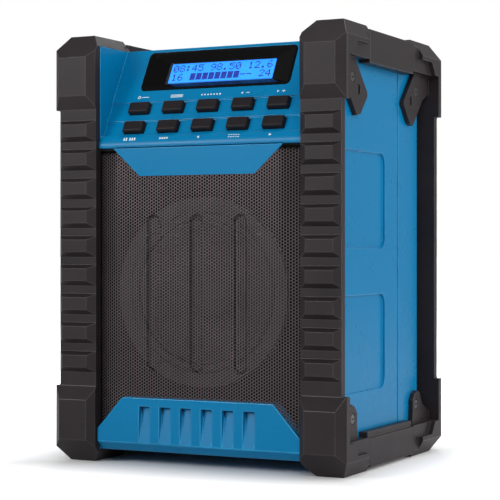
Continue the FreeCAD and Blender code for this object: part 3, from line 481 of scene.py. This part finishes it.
@dataclass
class Slope:
    """Plane of the sloping control panel, as the frame has it."""

    middle_y: float = -52.5 * MM
    middle_z: float = 217.5 * MM
    rate: float = 0.55

    def point(self, x: float, up: float, out: float) -> Vector:
        """Point beside the panel's middle.

        Args:
            x: across.
            up: up the slope.
            out: out of the surface.

        Returns:
            The point in the frame.
        """
        norm = math.hypot(self.rate, 1.0)
        y = self.middle_y + (up * self.rate - out) / norm
        z = self.middle_z + (up + out * self.rate) / norm
        return Vector((x, y, z))

    def up_at(self, z: float) -> float:
        """Distance up the panel of its surface at height z."""
        return (z - self.middle_z) * math.hypot(self.rate, 1.0)

    def tilt(self) -> float:
        """Turn about X that lays a flat drawing on the panel."""
        return math.pi / 2 - math.atan(self.rate)


@dataclass
class Housing:
    """Case, cage and every other carried-over node."""

    shell_edge: float = 0.3 * MM
    trim_edge: float = 0.6 * MM
    cage_edge: float = 0.55 * MM
    post_edge: float = 0.3 * MM
    button_edge: float = 0.45 * MM
    door_edge: float = 0.3 * MM
    flap_edge: float = 0.25 * MM
    unclamped: tuple = ("post_", "front_shell", "rear_shell")

    def build(self) -> None:
        """Round what shows and dress the rest."""
        widths = {"front_shell": self.shell_edge, "rear_shell": self.shell_edge,
                  "lower_trim": self.trim_edge, "carry_bar": self.cage_edge,
                  "battery_door": self.door_edge, "socket_flap": self.flap_edge}
        for node in sorted(frame["nodes"]):
            if node.startswith("post_") or "_rail_" in node:
                widths[node] = self.post_edge if node.startswith("post_") else self.cage_edge
            if node.startswith("button_"):
                widths[node] = self.button_edge
        for node, width in widths.items():
            softened(node, width, clamp=not node.startswith(self.unclamped))
        for node, thing in frame["nodes"].items():
            if node not in widths:
                dress(thing, SLOT_FINISHES[NODE_SLOT[node]])
        for node in ("frame_screws", "case_screws"):
            dress(frame["nodes"][node], Finishes.SCREW)
        dress(frame["nodes"]["speaker_screws"], Finishes.SPEAKER_SCREW)


@dataclass
class Grille:
    """Perforated sheet with swept-back sides and three upright grooves."""

    pitch: float = 1.8 * MM
    hole_share: float = 0.8
    sheet: float = 0.25 * MM
    merge: float = 0.02 * MM
    half_width: float = 64.9 * MM
    flat_half: float = 52.0 * MM
    sweep: float = 3.5 * MM
    face: float = -73.0 * MM
    low: float = 14.5 * MM
    high: float = 181.0 * MM
    groove_pitch: float = 27.8 * MM
    groove_half: float = 4.5 * MM
    groove_depth: float = 2.0 * MM
    groove_low: float = 54.6 * MM
    groove_high: float = 144.4 * MM
    groove_rim: float = 1.6 * MM
    hidden_margin: float = 1.2 * MM
    plate_low: float = 166.4 * MM
    plate_half: float = 36.7 * MM
    plate_flare: float = 17.6 / 16.2
    trim_high: float = 39.3 * MM
    trim_half: float = 48.2 * MM
    trim_flare: float = 17.0 / 18.8

    def depth(self, x: float, z: float) -> float:
        """How far the sheet lies behind its front plane.

        Args:
            x: place across.
            z: height.

        Returns:
            The distance back.
        """
        past = max(0.0, abs(x) - self.flat_half) / (self.half_width - self.flat_half)
        back = self.sweep * past ** 1.5
        for i in (-1, 0, 1):
            end = min(max(z, self.groove_low + self.groove_half), self.groove_high - self.groove_half)
            reach = math.hypot(x - i * self.groove_pitch, z - end)
            rim = min(1.0, max(0.0, (self.groove_half - reach) / self.groove_rim))
            back += self.groove_depth * rim * rim * (3 - 2 * rim)
        return back

    def covered(self, x: float, z: float) -> bool:
        """Whether the plate above or the trim below hides this place.

        Args:
            x: place across.
            z: height.

        Returns:
            True where no sheet is needed.
        """
        above, below = z - self.plate_low, self.trim_high - z
        reach = abs(x) + self.hidden_margin
        plate = above > self.hidden_margin and reach < self.plate_half + above * self.plate_flare
        trim = below > self.hidden_margin and reach < self.trim_half + below * self.trim_flare
        return plate or trim

    def cell(self) -> bpy.types.Object:
        """Model two neighbouring holes with their shares of the sheet.

        Returns:
            The open-backed pair, to be repeated across and up.
        """
        radius = self.pitch / math.sqrt(3)
        halves = []
        for x, z in ((0.0, 0.0), (self.pitch * math.sqrt(3) / 2, self.pitch / 2)):
            bpy.ops.mesh.primitive_circle_add(vertices=6, radius=radius, fill_type="NGON", location=(x, 0, z),
                                              rotation=(math.pi / 2, math.pi / 6, 0))
            half = bpy.context.object
            bpy.ops.object.mode_set(mode="EDIT")
            bpy.ops.mesh.inset(thickness=radius * (1 - self.hole_share) * math.cos(math.pi / 6))
            bpy.ops.mesh.extrude_region_move(TRANSFORM_OT_translate={"value": (0, self.sheet, 0)})
            bpy.ops.mesh.delete(type="ONLY_FACE")
            bpy.ops.object.mode_set(mode="OBJECT")
            halves.append(half)
        only(halves[0])
        halves[1].select_set(True)
        bpy.ops.object.join()
        bpy.ops.object.transform_apply(location=True, rotation=True, scale=True)
        return halves[0]

    def build(self) -> bpy.types.Object:
        """Repeat the cell, trim the sheet and press it to shape.

        Returns:
            The grille.
        """
        bpy.ops.object.select_all(action="DESELECT")
        sheet = self.cell()
        across = self.pitch * math.sqrt(3)
        steps = ((int(2 * self.half_width / across), (across, 0, 0)),
                 (int((self.high - self.low) / self.pitch), (0, 0, self.pitch)))
        for count, offset in steps:
            repeat = sheet.modifiers.new("repeat", "ARRAY")
            repeat.count = count
            repeat.use_relative_offset = False
            repeat.use_constant_offset = True
            repeat.constant_offset_displace = offset
            repeat.use_merge_vertices = True
            repeat.merge_threshold = self.merge
            bpy.ops.object.modifier_apply(modifier=repeat.name)
        width = (steps[0][0] - 0.5) * self.pitch * math.sqrt(3)
        mesh = sheet.data
        start = Vector((-width / 2, self.face, self.low))
        for vertex in mesh.vertices:
            vertex.co += start
        bpy.ops.object.mode_set(mode="EDIT")
        bpy.ops.mesh.select_mode(type="FACE")
        bpy.ops.mesh.select_all(action="DESELECT")
        bpy.ops.object.mode_set(mode="OBJECT")
        for polygon in mesh.polygons:
            x, _, z = polygon.center
            polygon.select = self.covered(x, z) or abs(x) > self.half_width
        bpy.ops.object.mode_set(mode="EDIT")
        bpy.ops.mesh.delete(type="FACE")
        bpy.ops.object.mode_set(mode="OBJECT")
        for vertex in mesh.vertices:
            vertex.co.y += self.depth(vertex.co.x, vertex.co.z)
        settle(sheet, "perforated_grille", "case", Finishes.GRILLE)
        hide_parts("speaker_grille")
        return sheet


DIGITS = {
    "0": ("01110", "10001", "10011", "10101", "11001", "10001", "01110"),
    "1": ("00100", "01100", "00100", "00100", "00100", "00100", "01110"),
    "2": ("01110", "10001", "00001", "00010", "00100", "01000", "11111"),
    "4": ("00010", "00110", "01010", "10010", "11111", "00010", "00010"),
    "5": ("11111", "10000", "11110", "00001", "00001", "10001", "01110"),
    "6": ("00110", "01000", "10000", "11110", "10001", "10001", "01110"),
    "8": ("01110", "10001", "10001", "01110", "10001", "10001", "01110"),
    "9": ("01110", "10001", "10001", "01111", "00001", "00010", "01100"),
    ":": ("00000", "01100", "01100", "00000", "01100", "01100", "00000"),
    ".": ("00000", "00000", "00000", "00000", "00000", "01100", "01100"),
    "#": ("11111", "11111", "11111", "11111", "11111", "11111", "11111"),
    "-": ("00000", "00000", "00000", "11111", "00000", "00000", "00000"),
    " ": ("00000",) * 7,
}


@dataclass
class Display:
    """Lit screen behind the window, with rows of dots that show numbers and a level bar."""

    slope: Slope
    width: float = 68.0 * MM
    height: float = 13.3 * MM
    centre_z: float = 230.2 * MM
    front_depth: float = 4.28 * MM
    thickness: float = 0.92 * MM
    character: float = 4.1 * MM
    line: float = 6.0 * MM
    dot: float = 0.68 * MM
    dot_film: float = 0.04 * MM
    rounding: float = 0.04 * MM
    lines: tuple = ("08:45 98.50 12.6", "16 ########-- 24")

    def flat_box(self, x: float, up: float, out: float, size: tuple) -> bpy.types.Object:
        """Thin block laid on the panel's slope.

        Args:
            x: its middle across.
            up: its middle up the slope.
            out: its middle out of the surface.
            size: width, height and thickness.

        Returns:
            The block, its place still in its object.
        """
        bpy.ops.mesh.primitive_cube_add(size=1, location=self.slope.point(x, up, out),
                                        rotation=(self.slope.tilt(), 0, 0), scale=size)
        return bpy.context.object

    def build(self) -> None:
        """Make the screen and its dots."""
        bpy.ops.object.select_all(action="DESELECT")
        up = self.slope.up_at(self.centre_z)
        size = (self.width, self.height, self.thickness)
        screen = self.flat_box(0, up, -self.front_depth - self.thickness / 2, size)
        bpy.ops.object.transform_apply(location=True, rotation=True, scale=True)
        edge = screen.modifiers.new("edge", "BEVEL")
        edge.width = self.rounding
        bpy.ops.object.modifier_apply(modifier=edge.name)
        settle(screen, "lit_screen", "case", Finishes.SCREEN)
        size = (self.dot, self.dot, self.dot_film)
        first = self.flat_box(0, up, -self.front_depth + self.dot_film / 2, size)
        bpy.ops.object.transform_apply(location=True, rotation=True, scale=True)
        dots = [first]
        for x, rise in self.dot_places():
            dot = bpy.data.objects.new("dot", first.data.copy())
            dot.location = self.slope.point(x, rise, 0) - self.slope.point(0, 0, 0)
            bpy.context.scene.collection.objects.link(dot)
            dots.append(dot)
        only(dots[1])
        bpy.data.objects.remove(dots.pop(0))
        for dot in dots:
            dot.select_set(True)
        bpy.ops.object.join()
        settle(dots[0], "screen_dots", "case", Finishes.INK)

    def dot_places(self) -> Iterable[tuple[float, float]]:
        """Places of the dark dots.

        Yields:
            Each dot's distance across and up from the screen's centre.
        """
        for row, text in enumerate(self.lines):
            for column, sign in enumerate(text):
                left = (column - (len(text) - 1) / 2) * self.character
                top = (0.5 - row) * self.line
                for j, pattern in enumerate(DIGITS[sign]):
                    for i, lit in enumerate(pattern):
                        if lit == "1":
                            yield left + (i - 2) * self.dot, top + (3 - j) * self.dot


@dataclass
class Marks:
    """Plain printed signs beside the buttons: ring, bars, dots, arrows, plus and minus."""

    columns: int = 5
    pitch: float = 22.5 * MM
    upper_z: float = 213.4 * MM
    lower_z: float = 188.0 * MM
    stroke: float = 0.42 * MM
    tall: float = 1.9 * MM
    film: float = 0.06 * MM
    sunk: float = 0.4
    start_y: float = -0.2

    def signs(self) -> list[list[tuple[str, float, float, float, float]]]:
        """Shapes of the ten signs.

        Returns:
            Each sign's shapes, upper row first, as kind, across, up, width or radius, and height.
        """
        s, t = self.stroke, self.tall
        step = 1.5 * MM
        bars = [("bar", k * step, 0.0, s, t * (0.45 + 0.14 * (k + 3))) for k in range(-3, 4)]
        dots = [("dot", k * step * 1.3, 0.0, 0.55 * MM, 0.0) for k in range(-3, 4)]
        lines = [("bar", 0.0, k * 0.75 * MM, 8.0 * MM, s) for k in (-1, 0, 1)]
        ring = [("ring", -2.6 * MM, 0.0, 0.85 * MM, 0.0), ("bar", -2.6 * MM, 0.7 * MM, s, 0.9 * MM)]
        minus = [("left", -2.4 * MM, 0.0, 0.9 * MM, 0.0), ("bar", 1.2 * MM, 0.0, 2.2 * MM, s)]
        plus = [("right", -2.4 * MM, 0.0, 0.9 * MM, 0.0), ("bar", 1.2 * MM, 0.0, 2.2 * MM, s),
                ("bar", 1.2 * MM, 0.0, s, t)]
        pairs = [("bar", k * step, 0.0, 2.2 * s, t) for k in (-2.4, -1.4, 0.2, 1.2, 2.2)]
        scan = [("right", k * step, 0.0, 0.95 * MM, 0.0) for k in (-1.5, -0.5, 0.5, 1.5)]
        grid = [("bar", k * step, j * 0.7 * MM, 2.3 * s, s) for k in (-2, -1, 0, 1, 2) for j in (-1, 1)]
        return [ring + [("bar", 1.4 * MM, 0.0, 5.0 * MM, s)], lines, dots, minus, plus,
                pairs, scan, [("left", 0.0, 0.0, 1.0 * MM, 0.0)], grid, [("right", 0.0, 0.0, 1.0 * MM, 0.0)]]

    def shape(self, kind: str, width: float, height: float, place: Vector, turn: Vector) -> bpy.types.Object:
        """One flat printed shape laid on a surface.

        Args:
            kind: bar, dot, ring, left or right.
            width: a bar's width, or the radius of the others.
            height: a bar's height.
            place: its middle on the surface.
            turn: rotation that lays it on the surface.

        Returns:
            The shape.
        """
        if kind == "bar":
            bpy.ops.mesh.primitive_cube_add(size=1, location=place, rotation=turn,
                                            scale=(width, height, self.film))
        elif kind == "ring":
            bpy.ops.mesh.primitive_torus_add(major_radius=width, minor_radius=self.stroke / 2,
                                             major_segments=24, minor_segments=6,
                                             location=place, rotation=turn)
            bpy.context.object.scale.z = self.film / self.stroke
        else:
            bpy.ops.mesh.primitive_cylinder_add(vertices=16 if kind == "dot" else 3, radius=width,
                                                depth=self.film, location=place, rotation=turn)
            way = {"dot": 0.0, "left": math.pi / 2, "right": -math.pi / 2}[kind]
            bpy.context.object.rotation_euler.rotate_axis("Z", way)
        return bpy.context.object

    def build(self) -> None:
        """Print the ten signs as one piece, each on the case's own surface."""
        bpy.ops.object.select_all(action="DESELECT")
        case = bpy.data.objects["front_shell_moulding"]
        bpy.context.view_layer.update()
        shapes = []
        for index, sign in enumerate(self.signs()):
            x = (index % self.columns - (self.columns - 1) / 2) * self.pitch
            start = Vector((x, self.start_y, self.upper_z if index < self.columns else self.lower_z))
            hit, place, normal, _ = case.ray_cast(start, Vector((0, 1, 0)))
            if not hit:
                LOG.warning("no surface behind sign %d", index)
                continue
            tilt = math.atan2(-normal.y, normal.z)
            upward = Vector((0, math.cos(tilt), math.sin(tilt)))
            for kind, across, rise, width, height in sign:
                spot = place + normal * self.film * self.sunk + Vector((across, 0, 0)) + upward * rise
                shapes.append(self.shape(kind, width, height, spot, (tilt, 0, 0)))
        only(shapes[0])
        for shape in shapes:
            shape.select_set(True)
        bpy.ops.object.join()
        settle(shapes[0], "printed_marks", "case", Finishes.MARK)


@dataclass(frozen=True)
class Softbox:
    """Square soft lamp aimed at a point."""

    name: str
    place: tuple
    target: tuple
    size: float
    power: float


@dataclass
class Studio:
    """White floor, world, soft lamps and the photograph's camera."""

    lamps: tuple = (
        Softbox("front_softbox", (0.75, -1.2, 0.9), (0, 0, 0.1), 0.8, 8.0),
        Softbox("side_softbox", (1.3, 0.35, 0.5), (0, 0, 0.1), 1.0, 10.0),
        Softbox("left_softbox", (-0.62, -1.18, 0.56), (0, 0, 0.15), 0.35, 6.0),
        Softbox("rear_softbox", (-0.7, 1.3, 0.8), (0, 0, 0.12), 0.8, 7.0),
        Softbox("top_softbox", (0.1, 0.3, 1.4), (0, 0, 0.1), 0.6, 5.5),
    )
    floor_size: float = 40.0
    floor_tones: tuple = ((0.9, 0.9, 0.9, 1.0), (0.93, 0.93, 0.93, 1.0))
    floor_cells: float = 400.0
    floor_bounce: tuple = (0.75, 0.75, 0.75, 1.0)
    painted_shadow_range: tuple = (-0.012, 0.035)
    painted_shadow_share: float = 0.45
    painted_fade_range: tuple = (0.0, 0.3)
    low_light: float = 0.3
    high_light: float = 0.18
    light_range: tuple = (0.15, 0.9)
    camera_place: tuple = (434.94 * MM, -873.49 * MM, 124.59 * MM)
    azimuth: float = math.radians(26.6)
    focal_pixels: float = 1615.0
    frame_pixels: float = 500.0
    principal_rise: float = 1.0
    sensor: float = 36.0

    def build(self) -> None:
        """Set everything up."""
        scene = bpy.context.scene
        scene.view_settings.view_transform = "Standard"
        self.floor()
        self.world(scene)
        for softbox in self.lamps:
            self.lamp(softbox)
        self.camera(scene)

    def floor(self) -> None:
        """White floor that keeps the lamps' shadow, with a painted shadow where its glow fades out towards
        the radio.
        """
        bpy.ops.object.select_all(action="DESELECT")
        bpy.ops.mesh.primitive_plane_add(size=self.floor_size, location=(0, 0, 0))
        floor = bpy.context.object
        floor.name = "studio_floor"
        made = bpy.data.materials.new("studio_floor")
        made.use_nodes = True
        graph = Graph(made.node_tree)
        axes = graph.axes(graph.node("ShaderNodeTexCoord").outputs["Object"])
        # The floor's glow fades out towards the radio's footprint: a painted shadow around and under the
        # radio, on top of the lamps' real one.
        beside = [graph.math("ABSOLUTE", axis, 0) - half for axis, half in zip(axes, CAD_BOX[1][:2])]
        past = graph.math("MAXIMUM", *beside)
        near = graph.ramp(past, *self.painted_shadow_range) * self.painted_shadow_share
        away = near + graph.ramp(past, *self.painted_fade_range) * (1 - self.painted_shadow_share)
        speck = graph.blend(graph.noise(self.floor_cells), *self.floor_tones)
        plain = graph.node("ShaderNodeBsdfDiffuse", None, {"Color": speck}).outputs[0]
        dark = graph.node("ShaderNodeEmission", None, {"Color": WHITE, "Strength": 0.0}).outputs[0]
        white = graph.node("ShaderNodeEmission", None, {"Color": WHITE, "Strength": 1.0}).outputs[0]
        glow = graph.node("ShaderNodeMixShader", None, {0: away, 1: dark, 2: white}).outputs[0]
        lit = graph.node("ShaderNodeAddShader", None, {0: plain, 1: glow}).outputs[0]
        dim = graph.node("ShaderNodeBsdfDiffuse", None, {"Color": self.floor_bounce}).outputs[0]
        graph.output("ShaderNodeOutputMaterial", graph.background_ray(), dim, lit)
        floor.data.materials.append(made)

    def world(self, scene: bpy.types.Scene) -> None:
        """White backdrop to the camera and in reflections, softer light above.

        Args:
            scene: the scene that gets it.
        """
        scene.world = bpy.data.worlds.new("studio_world")
        scene.world.use_nodes = True
        graph = Graph(scene.world.node_tree)
        height = graph.axes(graph.node("ShaderNodeTexCoord").outputs["Generated"])[2]
        low, high, white = (
            graph.node("ShaderNodeBackground", None, {"Color": WHITE, "Strength": strength}).outputs[0]
            for strength in (self.low_light, self.high_light, 1.0))
        rise = graph.ramp(height, *self.light_range)
        soft = graph.node("ShaderNodeMixShader", None, {0: rise, 1: low, 2: high}).outputs[0]
        graph.output("ShaderNodeOutputWorld", graph.background_ray(), soft, white)

    def lamp(self, softbox: Softbox) -> None:
        """Hang one softbox.

        Args:
            softbox: its name, place, aim, size and power.
        """
        data = bpy.data.lights.new(softbox.name, "AREA")
        data.shape = "SQUARE"
        data.size = softbox.size
        data.energy = softbox.power
        lamp = bpy.data.objects.new(softbox.name, data)
        lamp.location = softbox.place
        aim = Vector(softbox.target) - Vector(softbox.place)
        lamp.rotation_euler = aim.to_track_quat("-Z", "Y").to_euler()
        bpy.context.scene.collection.objects.link(lamp)

    def camera(self, scene: bpy.types.Scene) -> None:
        """Camera at the photograph's place and angle.

        Args:
            scene: the scene that gets it.
        """
        data = bpy.data.cameras.new("photo_camera")
        data.sensor_width = self.sensor
        data.sensor_fit = "HORIZONTAL"
        data.lens = self.focal_pixels / self.frame_pixels * data.sensor_width
        data.shift_y = -self.principal_rise / self.frame_pixels
        data.clip_start = 0.05
        data.clip_end = 100.0
        camera = bpy.data.objects.new("photo_camera", data)
        camera.location = self.camera_place
        camera.rotation_euler = (math.pi / 2, 0, self.azimuth)
        scene.collection.objects.link(camera)
        scene.camera = camera


def main() -> None:
    """Build the looks."""
    logging.basicConfig(level=logging.INFO, format="%(name)s: %(message)s")
    slope = Slope()
    Studio().build()
    Housing().build()
    Grille().build()
    Display(slope).build()
    Marks().build()


if __name__ == "__main__":
    main()
